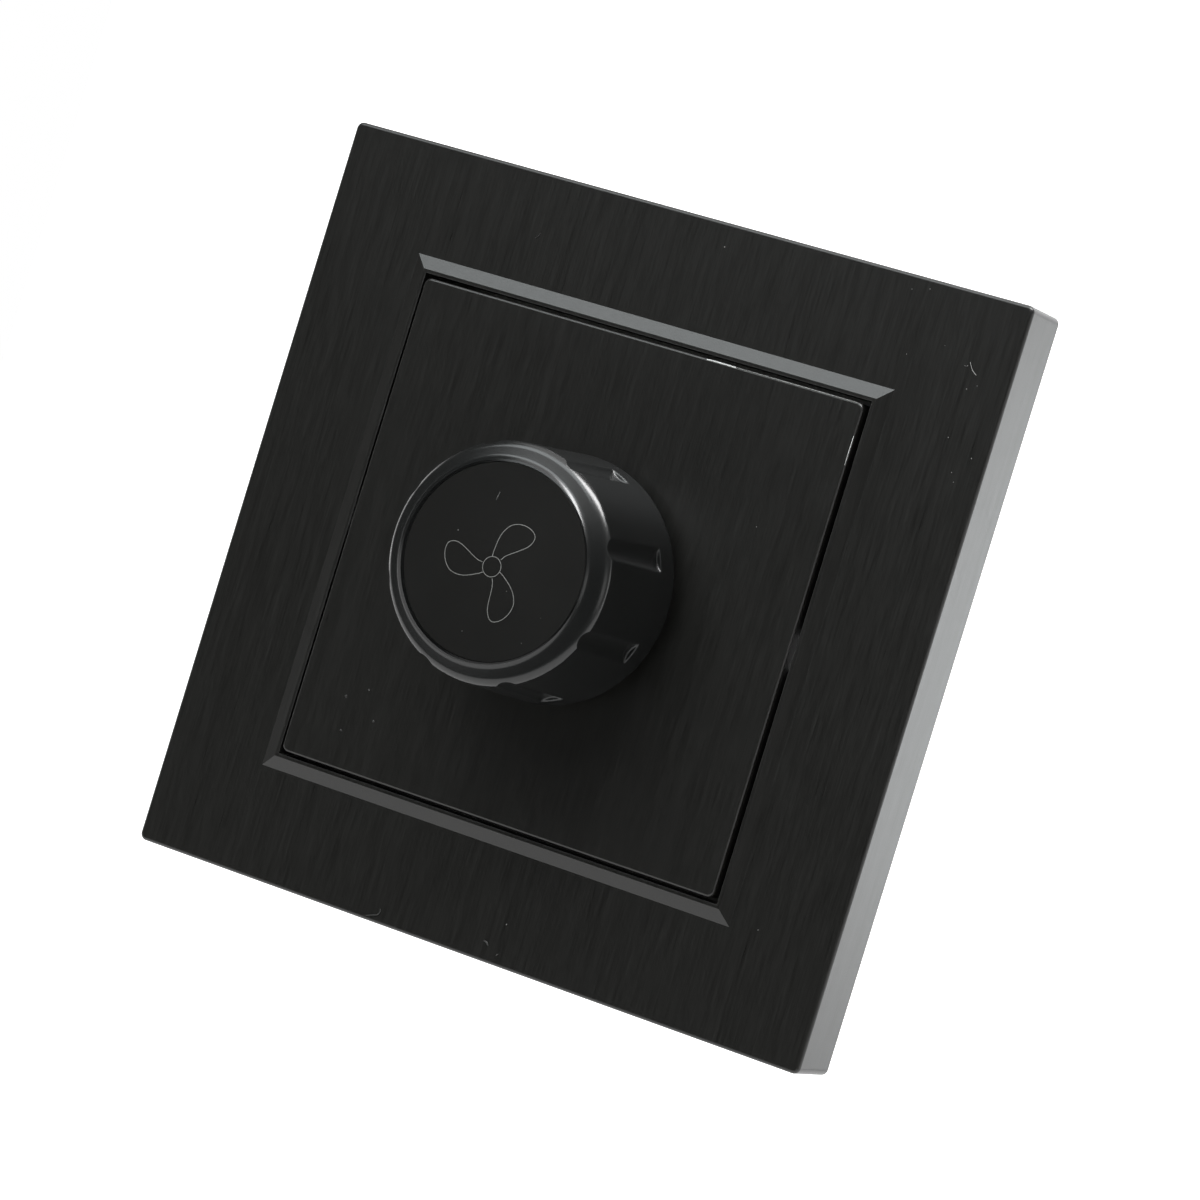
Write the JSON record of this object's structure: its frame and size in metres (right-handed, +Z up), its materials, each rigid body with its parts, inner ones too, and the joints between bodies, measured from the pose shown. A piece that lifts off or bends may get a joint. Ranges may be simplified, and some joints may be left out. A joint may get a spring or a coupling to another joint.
{
  "type": "fan speed control switch",
  "caption": "Square wall-mounted rotary fan speed switch: bevelled wall plate, raised centre plate, fluted tapered knob and a regulator module behind.",
  "frame": {"origin": "midway between the two fixing slots, on the wall's surface", "axes": "+X to the right as seen from the room, +Z up, +Y into the wall; the room side is negative Y"},
  "size_m": [0.086, 0.0581, 0.086],
  "materials": {
    "front_frame": "fine vertical brushed grain, satin",
    "centre_plate": "fine vertical brushed grain, satin",
    "knob": "smooth satin to gloss",
    "knob_insert": "satin, with a thin line sign",
    "knob_spring_clip": "bright spring steel",
    "mounting_yoke": "zinc plated",
    "module_cover": "moulded, light grey",
    "module_housing": "moulded, light grey",
    "housing_screws": "zinc plated",
    "circuit_board": "paper laminate",
    "potentiometer_bushing": "die-cast",
    "potentiometer_washer": "plated",
    "potentiometer_nut": "plated",
    "potentiometer_case": "plated, drawn",
    "resistance_track": "paper laminate with a carbon track",
    "potentiometer_pins": "tinned",
    "switch_contacts": "bright",
    "potentiometer_shaft": "turned",
    "shaft_ring": "spring steel",
    "potentiometer_rotor": "moulded",
    "wiper_spring": "spring bronze",
    "switch_bridge": "spring bronze",
    "triac": "moulded epoxy",
    "thermal_pad": "silicone sheet",
    "heat_sink": "extruded",
    "heat_sink_screw": "plated",
    "film_capacitor": "dipped",
    "timing_capacitor": "dipped",
    "choke_core": "coated iron powder",
    "choke_winding": "enamelled copper",
    "resistors": "lacquered",
    "diac": "glass bead, painted",
    "fuse": "glass tube with plated caps",
    "fuse_clips": "tinned",
    "terminal_cages": "nickelled",
    "terminal_screws": "zinc plated",
    "terminal_tabs": "tinned"
  },
  "bodies": {
    "base": {"front_frame": "front_frame", "centre_plate": "centre_plate", "mounting_yoke": "mounting_yoke", "module_cover": "module_cover", "module_housing": "module_housing", "housing_screws": "housing_screws", "circuit_board": "circuit_board", "potentiometer_bushing": "potentiometer_bushing", "potentiometer_washer": "potentiometer_washer", "potentiometer_nut": "potentiometer_nut", "potentiometer_case": "potentiometer_case", "resistance_track": "resistance_track", "potentiometer_pins": "potentiometer_pins", "switch_contacts": "switch_contacts", "triac": "triac", "thermal_pad": "thermal_pad", "heat_sink": "heat_sink", "heat_sink_screw": "heat_sink_screw", "film_capacitor": "film_capacitor", "timing_capacitor": "timing_capacitor", "choke_core": "choke_core", "choke_winding": "choke_winding", "resistors": "resistors", "diac": "diac", "fuse": "fuse", "fuse_clips": "fuse_clips", "terminal_cages": "terminal_cages", "terminal_screws": "terminal_screws", "terminal_tabs": "terminal_tabs"},
    "knob": {"knob": "knob", "knob_insert": "knob_insert", "knob_spring_clip": "knob_spring_clip", "potentiometer_shaft": "potentiometer_shaft", "shaft_ring": "shaft_ring", "potentiometer_rotor": "potentiometer_rotor", "wiper_spring": "wiper_spring", "switch_bridge": "switch_bridge"}
  },
  "joints": [
    {"name": "knob_turn", "type": "hinge", "parent": "base", "child": "knob", "pos_m": [0, 0, 0], "axis": [0, 1, 0], "range_deg": [0, 280]}
  ]
}
